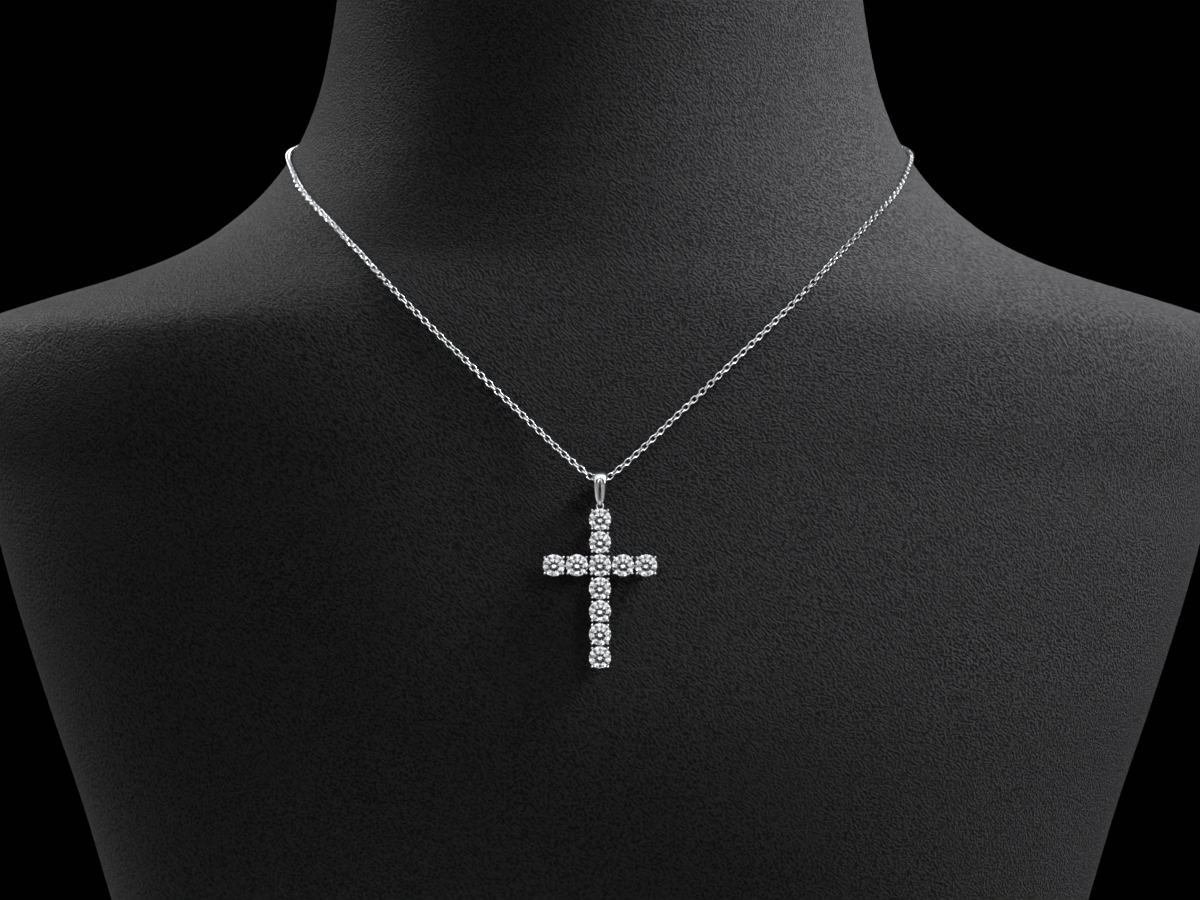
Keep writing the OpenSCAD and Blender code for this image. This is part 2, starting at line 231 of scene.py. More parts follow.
def add_shell(work: BMesh, columns: int, rows: int, where: Callable[[float, float], Vector],
              seam: float) -> None:
    """Lays a grid over a surface and closes it where its edges meet.

    Args:
        work: The mesh that gets the shell.
        columns: Faces round the surface.
        rows: Faces along the surface.
        where: Gives the place of a point from its shares round and along, from 0 to 1.
        seam: Distance within which the grid's edges are merged.
    """
    before = set(work.verts)
    grid = bmesh.ops.create_grid(work, x_segments=columns, y_segments=rows, size=0.5)["verts"]
    for vert in grid:
        vert.co = where(vert.co.x + 0.5, vert.co.y + 0.5)
    finished(work, before, seam)


def solid(name: str, work: BMesh) -> Piece:
    """Makes a scratch or finished object from a mesh, still in millimetres.

    Args:
        name: The object's name.
        work: The mesh, which is freed.

    Returns:
        The object, linked to the scene.
    """
    mesh = bpy.data.meshes.new(name)
    work.to_mesh(mesh)
    work.free()
    made = bpy.data.objects.new(name, mesh)
    bpy.context.scene.collection.objects.link(made)
    return made


def combine(base: Piece, tool: Piece, join: Join) -> None:
    """Joins a closed mesh to another or cuts it out, and removes it.

    Args:
        base: The object that is changed.
        tool: The object that is joined or cut out.
        join: Which of the two.
    """
    modifier = base.modifiers.new(join.name, "BOOLEAN")
    modifier.operation = join.value
    modifier.solver = "MANIFOLD"
    modifier.object = tool
    graph = bpy.context.evaluated_depsgraph_get()
    mesh = bpy.data.meshes.new_from_object(base.evaluated_get(graph))
    base.modifiers.clear()
    base.data = mesh
    bpy.data.objects.remove(tool)


def settle(piece: Piece, place: Matrix, crease: float | None) -> None:
    """Puts a piece's mesh in its place, in metres, and sets its shading.

    Args:
        piece: The piece, drawn in millimetres.
        place: The frame that it was drawn in.
        crease: Angle in degrees past which an edge stays sharp, or None for flat faces.
    """
    mesh = piece.data
    mesh.transform(Matrix.Scale(MM, 4) @ place)
    mesh.polygons.foreach_set("use_smooth", [crease is not None] * len(mesh.polygons))
    if crease is not None:
        mesh.set_sharp_from_angle(angle=math.radians(crease))
    mesh.update()


def hand_over(piece: Piece, body: Body, slot: Slot, material: Material, nodes: Iterable[str]) -> None:
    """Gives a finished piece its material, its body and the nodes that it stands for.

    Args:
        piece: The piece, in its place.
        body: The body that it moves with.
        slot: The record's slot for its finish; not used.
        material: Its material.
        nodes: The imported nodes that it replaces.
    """
    # Joining or cutting leaves an empty slot, which would hide the material
    piece.data.materials.clear()
    piece.data.materials.append(material)
    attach(piece, body.value)
    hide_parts(*nodes)
    log.info("%s rides on %s with %d faces", piece.name, body.value, len(piece.data.polygons))


class NodeSet:
    """Nodes of a material or of the world."""

    def __init__(self, owner: Material | bpy.types.World) -> None:
        """Starts the owner's nodes."""
        owner.use_nodes = True
        self.tree = owner.node_tree

    def add(self, kind: str, inputs: dict | None = None, **settings: object) -> bpy.types.Node:
        """Adds a node.

        Args:
            kind: The node's type.
            inputs: Values or linked outputs, by the name or number of the socket.
            settings: Properties of the node.

        Returns:
            The node.
        """
        node = self.tree.nodes.new(kind)
        for name, value in settings.items():
            setattr(node, name, value)
        for key, value in (inputs or {}).items():
            self.feed(node.inputs[key], value)
        return node

    def feed(self, socket: Socket, value: object) -> None:
        """Links an output to a socket, or sets the socket's value.

        Args:
            socket: The socket.
            value: An output, or the value.
        """
        if isinstance(value, Socket):
            self.tree.links.new(value, socket)
        else:
            socket.default_value = value

    def ramp(self, value: Socket, low: float, high: float, to_low: float, to_high: float) -> Socket:
        """Maps a value from one range smoothly to another.

        Args:
            value: The value.
            low: Start of its range.
            high: End of its range.
            to_low: Result at the start.
            to_high: Result at the end.

        Returns:
            The mapped value.
        """
        return self.add("ShaderNodeMapRange", {
            "Value": value, "From Min": low, "From Max": high, "To Min": to_low, "To Max": to_high,
        }, interpolation_type="SMOOTHSTEP").outputs["Result"]

    def blend(self, share: object, first: object, second: object) -> Socket:
        """Mixes two numbers.

        Args:
            share: Share of the second, from 0 to 1.
            first: The result at 0.
            second: The result at 1.

        Returns:
            The mixture.
        """
        mix = self.add("ShaderNodeMix", data_type="FLOAT")
        for socket, value in zip((mix.inputs[0], mix.inputs[2], mix.inputs[3]), (share, first, second)):
            self.feed(socket, value)
        return mix.outputs[0]


class Recipe(NodeSet):
    """Nodes of one material, with its shader and Object coordinates to start from."""

    def __init__(self, name: str) -> None:
        """Makes the material and keeps its shader.

        Args:
            name: The material's name.
        """
        self.material = bpy.data.materials.new(name)
        super().__init__(self.material)
        self.shader = self.tree.nodes["Principled BSDF"]
        self.coordinates = self.add("ShaderNodeTexCoord").outputs["Object"]

    def stretched(self, turn: Row, grain: Row, vector: Socket) -> Socket:
        """Turns coordinates and scales them to a grain.

        Args:
            turn: Turns about the three axes in degrees.
            grain: Size of the grain along the turned axes in millimetres.
            vector: The coordinates.

        Returns:
            Coordinates in which a grain is one unit long.
        """
        mapping = self.add("ShaderNodeMapping", {
            "Vector": vector,
            "Rotation": [math.radians(angle) for angle in turn],
        })
        grains = [1 / (size * MM) for size in grain]
        scaled = self.add("ShaderNodeVectorMath", {0: mapping.outputs[0], 1: grains}, operation="MULTIPLY")
        return scaled.outputs[0]

    def noise(self, vector: Socket, scale: float, detail: float = 2) -> Socket:
        """Adds noise with one bump to a unit of length over scale.

        Args:
            vector: The coordinates.
            scale: Bumps to a unit of the coordinates.
            detail: Octaves of finer noise.

        Returns:
            The noise, from 0 to 1.
        """
        inputs = {"Vector": vector, "Scale": scale, "Detail": detail}
        return self.add("ShaderNodeTexNoise", inputs).outputs["Fac"]

    def tint(self, share: Socket, first: Row, second: Row) -> None:
        """Colours the surface between two colours.

        Args:
            share: Share of the second, from 0 to 1.
            first: The colour at 0.
            second: The colour at 1.
        """
        mix = self.add("ShaderNodeMix", data_type="RGBA")
        self.feed(mix.inputs[0], share)
        mix.inputs[6].default_value = (*first, 1)
        mix.inputs[7].default_value = (*second, 1)
        self.feed(self.shader.inputs["Base Color"], mix.outputs[2])

    def emboss(self, height: Socket, strength: float, depth: float) -> None:
        """Raises the surface by a height.

        Args:
            height: The height, from 0 to 1.
            strength: Share of the effect.
            depth: Height of 1 in millimetres.
        """
        bump = self.add("ShaderNodeBump", {"Height": height, "Strength": strength, "Distance": depth * MM})
        self.feed(self.shader.inputs["Normal"], bump.outputs[0])


@dataclass(frozen=True)
class BlackLeatherette:
    """Matt black leatherette with short slanting wrinkles whose direction drifts."""

    # Colour of the valleys, darkened as painted shade, and of the ridges, lightened as a painted highlight
    valley_painted_shade: Row = (0.004, 0.004, 0.0044)
    ridge_painted_highlight: Row = (0.018, 0.018, 0.0187)
    wrinkle: Row = (0.40, 0.40, 0.82)
    cross_wrinkle: Row = (0.44, 0.44, 0.62)
    slant: Row = (20, 46, 0)
    cross_slant: Row = (-15, 62, 10)
    drift_size: float = 14
    drift: float = 0.9
    # Size of the patches in which one wrinkle gives way to the other
    patch_size: float = 38
    # Noise at which a patch's change and a wrinkle's rise begin and end
    patch_edge: Row = (0.42, 0.58)
    wrinkle_edge: Row = (0.34, 0.66)
    pore: float = 0.24
    pore_share: float = 0.18
    depth: float = 0.21
    relief: float = 0.8
    # Roughness in the valleys and on the ridges
    roughness: Row = (0.72, 0.56)
    gloss: float = 0.025

    def material(self) -> Material:
        """Makes the material.

        Returns:
            The material.
        """
        recipe = Recipe("black_leatherette")
        shader = recipe.shader
        place = recipe.coordinates
        drifting = recipe.add("ShaderNodeTexNoise", {"Vector": place, "Scale": 1 / (self.drift_size * MM)})
        push = {0: drifting.outputs["Color"], 1: [self.drift * MM] * 3, 2: place}
        pushed = recipe.add("ShaderNodeVectorMath", push, operation="MULTIPLY_ADD").outputs[0]
        first = recipe.noise(recipe.stretched(self.slant, self.wrinkle, pushed), 1)
        second = recipe.noise(recipe.stretched(self.cross_slant, self.cross_wrinkle, pushed), 1)
        patches = recipe.noise(place, 1 / (self.patch_size * MM), detail=1)
        patch = recipe.ramp(patches, *self.patch_edge, 0, 1)
        wrinkles = recipe.ramp(recipe.blend(patch, first, second), *self.wrinkle_edge, 0, 1)
        pores = recipe.noise(place, 1 / (self.pore * MM), detail=1)
        height = recipe.blend(self.pore_share, wrinkles, pores)
        # Painted shade and highlight: the colour darkens into the valleys and pores and lightens on the
        # ridges
        recipe.tint(height, self.valley_painted_shade, self.ridge_painted_highlight)
        recipe.feed(shader.inputs["Roughness"], recipe.ramp(height, 0, 1, *self.roughness))
        shader.inputs["Specular IOR Level"].default_value = self.gloss
        recipe.emboss(height, self.relief, self.depth)
        return recipe.material


@dataclass(frozen=True)
class WhiteMetal:
    """White metal with faint polishing marks."""

    name: str
    colour: Row
    shade: Row
    smooth: float = 0.1
    rubbed: float = 0.24
    # Noise at which the metal is smooth and at which it is rubbed
    wear: Row = (0.35, 0.7)
    mark: Row = (0.03, 0.5, 0.03)
    mark_turn: Row = (8, 0, 12)
    mark_depth: float = 0.01
    mark_relief: float = 0.12
    cloud: float = 0.7
    cloud_share: float = 0.5

    def material(self) -> Material:
        """Makes the material.

        Returns:
            The material.
        """
        recipe = Recipe(self.name)
        shader = recipe.shader
        shader.inputs["Metallic"].default_value = 1.0
        marks = recipe.noise(recipe.stretched(self.mark_turn, self.mark, recipe.coordinates), 1)
        clouds = recipe.noise(recipe.coordinates, 1 / (self.cloud * MM))
        worn = recipe.blend(self.cloud_share, marks, clouds)
        recipe.tint(clouds, self.shade, self.colour)
        recipe.feed(shader.inputs["Roughness"], recipe.ramp(worn, *self.wear, self.smooth, self.rubbed))
        recipe.emboss(marks, self.mark_relief, self.mark_depth)
        return recipe.material


# The chain, the clasp and the bail are polished, and the setting of the cross is a greyer copy of the same
# metal as painted shade
POLISHED = WhiteMetal("white_metal_polished", colour=(0.83, 0.835, 0.845), shade=(0.69, 0.695, 0.705))
# Painted shade: the setting's metal is darker than the chain's, as though shaded by the stones
SHADED_SETTING_METAL = WhiteMetal("white_metal_painted_shade", colour=(0.6, 0.605, 0.615), shade=(0.46, 0.465, 0.475))


@dataclass(frozen=True)
class ClearStone:
    """Clear colourless stone with the sparkle of a high index."""

    index: float = 2.417
    colour: Row = (0.985, 0.99, 1.0)

    def material(self) -> Material:
        """Makes the material.

        Returns:
            The material.
        """
        recipe = Recipe("clear_stone")
        shader = recipe.shader
        shader.inputs["Base Color"].default_value = (*self.colour, 1)
        shader.inputs["Roughness"].default_value = 0.0
        shader.inputs["IOR"].default_value = self.index
        shader.inputs["Transmission Weight"].default_value = 1.0
        return recipe.material


@dataclass
class DisplayBust:
    """The display bust: its outline at every height, and the piece."""

    height: float = 296
    width: float = 271
    depth: float = 126.9
    front: float = 66.4
    columns: int = 192
    rows_between: int = 6
    seam: float = 0.01
    base_bevel: float = 1.6
    base_steps: int = 4
    cap_inset: float = 2.5
    crease: float = 50
    # The skin's direction is measured over this turn in degrees, and the height divided by this
    probe_turn: float = 0.5
    probe_parts: float = 600
    # Height, half width, front and back as shares, and the power of the outline
    sections: Curve = field(default=Curve((
        (0.000, 0.598, 0.768, 0.727, 2.35),
        (0.081, 0.653, 0.828, 0.769, 2.35),
        (0.162, 0.709, 0.904, 0.818, 2.35),
        (0.243, 0.763, 0.964, 0.868, 2.35),
        (0.307, 0.805, 0.994, 0.901, 2.35),
        (0.378, 0.858, 1.000, 0.934, 2.35),
        (0.449, 0.908, 0.976, 0.959, 2.35),
        (0.500, 0.939, 0.950, 0.975, 2.35),
        (0.541, 0.964, 0.928, 0.992, 2.30),
        (0.574, 0.985, 0.908, 1.000, 2.30),
        (0.605, 1.000, 0.887, 1.000, 2.25),
        (0.632, 0.991, 0.866, 0.992, 2.20),
        (0.649, 0.964, 0.852, 0.983, 2.15),
        (0.665, 0.864, 0.839, 0.967, 2.10),
        (0.679, 0.761, 0.827, 0.950, 2.05),
        (0.693, 0.677, 0.816, 0.934, 2.00),
        (0.707, 0.616, 0.807, 0.917, 2.00),
        (0.722, 0.570, 0.798, 0.901, 2.00),
        (0.736, 0.535, 0.791, 0.886, 2.00),
        (0.750, 0.507, 0.783, 0.873, 2.00),
        (0.765, 0.483, 0.777, 0.860, 2.00),
        (0.779, 0.465, 0.771, 0.848, 2.00),
        (0.808, 0.440, 0.762, 0.830, 2.00),
        (0.836, 0.425, 0.756, 0.815, 2.00),
        (0.879, 0.410, 0.753, 0.803, 2.00),
        (0.932, 0.402, 0.750, 0.797, 2.00),
        (0.980, 0.398, 0.747, 0.793, 2.00),
        (0.996, 0.388, 0.725, 0.769, 2.00),
        (1.000, 0.362, 0.675, 0.714, 2.00),
    )))

    def radius(self, angle: float, z: float) -> float:
        """Reach of the bust from its middle.

        Args:
            angle: Direction in radians, round from the front.
            z: Height.

        Returns:
            The distance to the surface.
        """
        share = z / self.height
        half = self.width / 2 * self.sections.at(share, 1)
        if math.cos(angle) > 0:
            deep = self.front * self.sections.at(share, 2)
        else:
            deep = (self.depth - self.front) * self.sections.at(share, 3)
        power = self.sections.at(share, 4)
        across, along = abs(math.sin(angle)) / half, abs(math.cos(angle)) / deep
        return (across**power + along**power) ** (-1 / power)

    @staticmethod
    def outward(angle: float) -> Vector:
        """Level direction that lies an angle round from the front."""
        return Vector((math.sin(angle), -math.cos(angle), 0))

    def point(self, angle: float, z: float) -> Vector:
        """Point of the surface."""
        return self.outward(angle) * self.radius(angle, z) + Vector((0, 0, z))

    def normal(self, angle: float, z: float) -> Vector:
        """Direction square to the surface.

        Args:
            angle: Direction in radians, round from the front.
            z: Height.

        Returns:
            The outward direction.
        """
        turn, rise = math.radians(self.probe_turn), self.height / self.probe_parts
        around = self.point(angle + turn, z) - self.point(angle - turn, z)
        upward = self.point(angle, z + rise) - self.point(angle, z - rise)
        return around.cross(upward).normalized()

    def off(self, angle: float, z: float, lift: float) -> Vector:
        """Point off the surface.

        Args:
            angle: Direction in radians, round from the front.
            z: Height of the point.
            lift: Distance from the surface, square to it.

        Returns:
            The point.
        """
        out = self.outward(angle)
        return self.point(angle, z) + out * (lift / self.normal(angle, z).dot(out))

    def _spot(self, around: float, along: float) -> Vector:
        """Place of a point of the skin.

        Args:
            around: Share of the way round from the seam at the back.
            along: Share of the way up, counted in sections.

        Returns:
            The point.
        """
        rows = self.sections.rows
        level = along * (len(rows) - 1)
        i = min(int(level), len(rows) - 2)
        share = rows[i][0] + (rows[i + 1][0] - rows[i][0]) * (level - i)
        turn = math.tau * (around - 0.5)
        angle = math.atan2(self.width * math.sin(turn), self.depth * math.cos(turn))
        return self.point(angle, share * self.height)

    def build(self) -> Piece:
        """Makes the skin, its flat cap and its base with a small round edge.

        Returns:
            The bust.
        """
        work = bmesh.new()
        rows = self.rows_between * (len(self.sections.rows) - 1)
        add_shell(work, self.columns, rows, self._spot, self.seam)
        rims = [edge for edge in work.edges if edge.is_boundary]
        caps = bmesh.ops.holes_fill(work, edges=rims, sides=self.columns)["faces"]
        bmesh.ops.recalc_face_normals(work, faces=work.faces[:])
        base = min(caps, key=lambda face: face.calc_center_median().z)
        top = max(caps, key=lambda face: face.calc_center_median().z)
        bmesh.ops.inset_region(work, faces=[top], thickness=self.cap_inset)
        bmesh.ops.bevel(work, geom=list(base.edges), offset=self.base_bevel, affect="EDGES",
                        segments=self.base_steps, profile=0.5, material=-1)
        piece = solid("neck_bust", work)
        settle(piece, Matrix.Identity(4), self.crease)
        return piece

    def dress(self, finish: BlackLeatherette) -> None:
        """Builds the bust and covers it with a finish."""
        hand_over(self.build(), Body.ROOT, Slot.LEATHERETTE, finish.material(), ["bust"])


@dataclass
class Brilliant:
    """A round stone cut with 57 facets."""

    width: float = 4.4
    table: float = 2.55
    crown: float = 0.66
    girdle: float = 0.1
    pavilion: float = 1.9
    star_share: float = 0.5
    low_share: float = 0.25
    mains: int = 8
    sides: int = 64

    @property
    def crown_slope(self) -> float:
        """Rise of the crown's main facets to the middle."""
        return self.crown / (self.width - self.table) * 2

    @property
    def pavilion_slope(self) -> float:
        """Fall of the pavilion's main facets to the middle."""
        return self.pavilion / self.width * 2

    def _cut(self, work: BMesh, point: Vector, normal: Vector) -> None:
        """Cuts one facet and closes it.

        Args:
            work: The stone so far.
            point: A point of the facet.
            normal: The facet's outward direction.
        """
        made = bmesh.ops.bisect_plane(work, geom=[*work.verts, *work.edges, *work.faces], dist=CUT_TOUCH,
                                      plane_co=point, plane_no=normal, clear_outer=True)
        rim = [item for item in made["geom_cut"] if isinstance(item, bmesh.types.BMEdge)]
        if rim:
            bmesh.ops.contextual_create(work, geom=rim)

    def _facets(self, work: BMesh, count: int, first: float, point: Vector, slope: float) -> None:
        """Cuts a ring of facets.

        Args:
            work: The stone so far.
            count: Number of facets.
            first: Direction of the first, in degrees.
            point: A point of the first facet, as though its direction were 0.
            slope: Rise of the facet to the middle, negative below the girdle.
        """
        side = 1 if slope > 0 else -1
        lean = Vector((abs(slope), 0, side)).normalized()
        for i in range(count):
            turn = Matrix.Rotation(math.radians(first + 360 / count * i), 3, "Z")
            self._cut(work, turn @ point, turn @ lean)

    def build(self) -> BMesh:
        """Cuts the stone from a round blank.

        Returns:
            The stone, with its girdle's lower edge at height 0.
        """
        r, table_r = self.width / 2, self.table / 2
        halves = 2 * self.mains
        between, beside = 360 / halves, 180 / halves
        half, quarter = math.cos(math.radians(between)), math.cos(math.radians(beside))
        top = self.girdle + self.crown
        star_r = table_r + (r - table_r) * self.star_share
        star_z = self.girdle + (r - star_r * half) * self.crown_slope
        low_r = r * self.low_share
        low_z = -(r - low_r * half) * self.pavilion_slope

        work = bmesh.new()
        blank = Matrix.Translation((0, 0, (top - self.pavilion) / 2))
        bmesh.ops.create_cone(work, cap_ends=True, segments=self.sides, radius1=r, radius2=r,
                              depth=top + self.pavilion, matrix=blank)
        low_slope = low_z / ((r - low_r) * quarter)
        high_slope = (star_z - self.girdle) / ((r - star_r) * quarter)
        star_slope = (top - star_z) / (star_r - table_r * half)
        for count, first, reach, level, slope in (
            (self.mains, 0, r, 0, -self.pavilion_slope),
            (halves, beside, r * quarter, 0, low_slope),
            (self.mains, 0, r, self.girdle, self.crown_slope),
            (halves, beside, r * quarter, self.girdle, high_slope),
            (self.mains, between, table_r * half, top, star_slope),
        ):
            self._facets(work, count, first, Vector((reach, 0, level)), slope)
        bmesh.ops.remove_doubles(work, verts=work.verts[:], dist=TOUCH)
        bmesh.ops.recalc_face_normals(work, faces=work.faces[:])
        return work


@dataclass
class StoneCross:
    """The cross: eleven stones in four prong baskets on two rails, joined by bars, with a loop on top."""

    stone: Brilliant = field(default_factory=Brilliant)
    stone_gap: float = 0.2
    rail: float = 0.36
    foot: float = 2.3
    rail_drop: float = 0.7
    bar: float = 0.3
    prong: float = 0.56
    head: float = 0.62
    prong_out: float = 0.24
    prong_angle: float = 4
    head_rise: float = 0.11
    seat_clear: float = 0.06
    seat_sides: int = 64
    # Steps round a ring, then sides of each kind of wire, then steps round and up a prong's head
    ring_steps: int = 40
    rail_sides: int = 10
    prong_sides: int = 16
    bar_sides: int = 12
    loop_sides: int = 14
    head_steps: tuple[int, int] = (20, 12)
    crease: float = 38
    culet_h: float = 0.4
    rest_gap: float = 0.3
    loop_r: float = 0.65
    loop_wire: float = 0.4
    loop_rise: float = 1.15
    cells: tuple[tuple[int, int], ...] = ((0, 2), (0, 1), (-2, 0), (-1, 0), (0, 0), (1, 0), (2, 0),
                                          (0, -1), (0, -2), (0, -3), (0, -4))
    # Turn of each stone about its axis, in degrees
    turns: tuple[float, ...] = (3, 14, -8, 20, 5, -17, 9, -4, 18, -12, 1)

    def __post_init__(self) -> None:
        """Works out the levels of a basket and the frame of the cross."""
        self.pitch = self.stone.width + self.stone_gap
        self.girdle_h = self.culet_h + self.stone.pavilion
        self.rail_h = self.girdle_h - self.rail_drop
        self.head_h = self.girdle_h + self.stone.girdle + self.head_rise
        self.head_at = self.stone.width / 2 + self.prong_out
        foot_r, low = self.foot / 2, self.rail / 2
        self.rail_at = foot_r + (self.head_at - foot_r) * (self.rail_h - low) / (self.head_h - low)
        first, last = (sum(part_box(f"stone_{n:02d}"), Vector()) for n in (1, len(self.cells)))
        along = (first - last).normalized()
        loop_up = 2 * self.pitch + self.stone.width / 2 + self.loop_rise
        away = ACROSS.cross(along)
        foot = hinge("cross_swing") - along * loop_up - away * (self.rest_gap + self.rail_h)
        self.loop_middle = loop_up - self.loop_r
        self.place = placing(foot + away * self.rest_gap, along)

    def _spot(self, cell: tuple[int, int], height: float = 0) -> Vector:
        """Middle of a cell at a height above the underside of the baskets."""
        return Vector((cell[0] * self.pitch, cell[1] * self.pitch, height))

    def _levels(self) -> tuple[Row, Row]:
        """Radius and height of the foot rail and the upper rail of a basket."""
        return (self.foot / 2, self.rail / 2), (self.rail_at, self.rail_h)

    def _rails(self) -> Piece:
        """Both rails of every basket.

        Returns:
            The rails.
        """
        work = bmesh.new()
        for cell in self.cells:
            for radius, height in self._levels():
                place = Matrix.Translation(self._spot(cell, height))
                add_ring(work, radius, self.rail, place, self.ring_steps, self.rail_sides)
        return solid("rails", work)

    def _prong_turns(self, cell: tuple[int, int]) -> list[float]:
        """Directions of a cell's four prongs, nearer to the row that the stone stands in.

        Args:
            cell: The cell, as steps to the right and up from the middle one.

        Returns:
            The directions in degrees.
        """
        lean = 1 if cell[1] else -1 if cell[0] else 0
        turn = 45 + self.prong_angle * lean
        return [turn, 180 - turn, 180 + turn, -turn]

    def _prongs(self) -> tuple[Piece, Piece]:
        """Prongs of every basket, and their round heads.

        Returns:
            The prongs and the heads.
        """
        prongs, heads = bmesh.new(), bmesh.new()
        round_head, up_head = self.head_steps
        for cell in self.cells:
            for turn in self._prong_turns(cell):
                way = Vector((math.cos(math.radians(turn)), math.sin(math.radians(turn)), 0))
                start = self._spot(cell, self.rail / 2) + way * self.foot / 2
                end = self._spot(cell, self.head_h) + way * self.head_at
                add_rod(prongs, start, end, self.prong, self.prong_sides)
                bmesh.ops.create_uvsphere(heads, u_segments=round_head, v_segments=up_head,
                                          radius=self.head / 2, matrix=Matrix.Translation(end))
        return solid("prongs", prongs), solid("heads", heads)

    def _bars(self) -> Piece:
        """Bars between neighbouring baskets, and the neck under the loop.

        Returns:
            The bars.
        """
        work = bmesh.new()
        for cell in self.cells:
            for step in ((1, 0), (0, 1)):
                if (cell[0] + step[0], cell[1] + step[1]) not in self.cells:
                    continue
                way = Vector((*step, 0))
                for radius, height in self._levels():
                    start = self._spot(cell, height) + way * radius
                    add_rod(work, start, start + way * (self.pitch - 2 * radius), self.bar, self.bar_sides)
        neck = Vector((0, 2 * self.pitch + self.rail_at, self.rail_h))
        under = Vector((0, self.loop_middle - self.loop_r, self.rail_h))
        add_rod(work, neck, under, self.bar, self.bar_sides)
        return solid("bars", work)

    def _loop(self) -> Piece:
        """Loop over the top stone.

        Returns:
            The loop.
        """
        work = bmesh.new()
        middle = Matrix.Translation((0, self.loop_middle, self.rail_h))
        add_ring(work, self.loop_r, self.loop_wire, middle, self.ring_steps, self.loop_sides)
        return solid("loop", work)

    def _seats(self) -> Piece:
        """Round room that the stones need in the metal.

        Returns:
            The seats to cut out.
        """
        work = bmesh.new()
        stone, clear = self.stone, self.seat_clear
        edge = stone.width / 2 + clear
        fall, rise = stone.pavilion_slope, stone.crown_slope
        low = -stone.pavilion - clear * math.hypot(1, fall)
        high = stone.girdle + rise * stone.width / 2 + clear * math.hypot(1, rise)
        profile = ((0, low), (edge, low + edge * fall), (edge, high - edge * rise), (0, high))
        for cell in self.cells:
            add_turned(work, profile, Matrix.Translation(self._spot(cell, self.girdle_h)), self.seat_sides)
        return solid("seats", work)

    def build_setting(self) -> Piece:
        """Fuses the metal of the cross and cuts the seats out.

        Returns:
            The setting.
        """
        piece = self._rails()
        piece.name = "prong_setting"
        prongs, heads = self._prongs()
        for tool, join in ((prongs, Join.UNION), (heads, Join.UNION), (self._seats(), Join.CUT),
                           (self._bars(), Join.UNION), (self._loop(), Join.UNION)):
            combine(piece, tool, join)
        settle(piece, self.place, self.crease)
        return piece

    def build_stone(self, number: int) -> Piece:
        """Cuts one stone and sets it in its basket.

        Args:
            number: Its number, from 1.

        Returns:
            The stone.
        """
        piece = solid(f"cut_stone_{number:02d}", self.stone.build())
        turn = Matrix.Rotation(math.radians(self.turns[number - 1]), 4, "Z")
        spot = Matrix.Translation(self._spot(self.cells[number - 1], self.girdle_h))
        settle(piece, self.place @ spot @ turn, None)
        return piece

    def dress(self, metal: Material, stone: Material) -> None:
        """Builds the setting and the stones and gives them their finishes.

        Args:
            metal: The setting's material.
            stone: The stones' material.
        """
        hand_over(self.build_setting(), Body.CROSS, Slot.METAL, metal, ["setting"])
        for number in range(1, len(self.cells) + 1):
            hand_over(self.build_stone(number), Body.CROSS, Slot.STONE, stone, [f"stone_{number:02d}"])


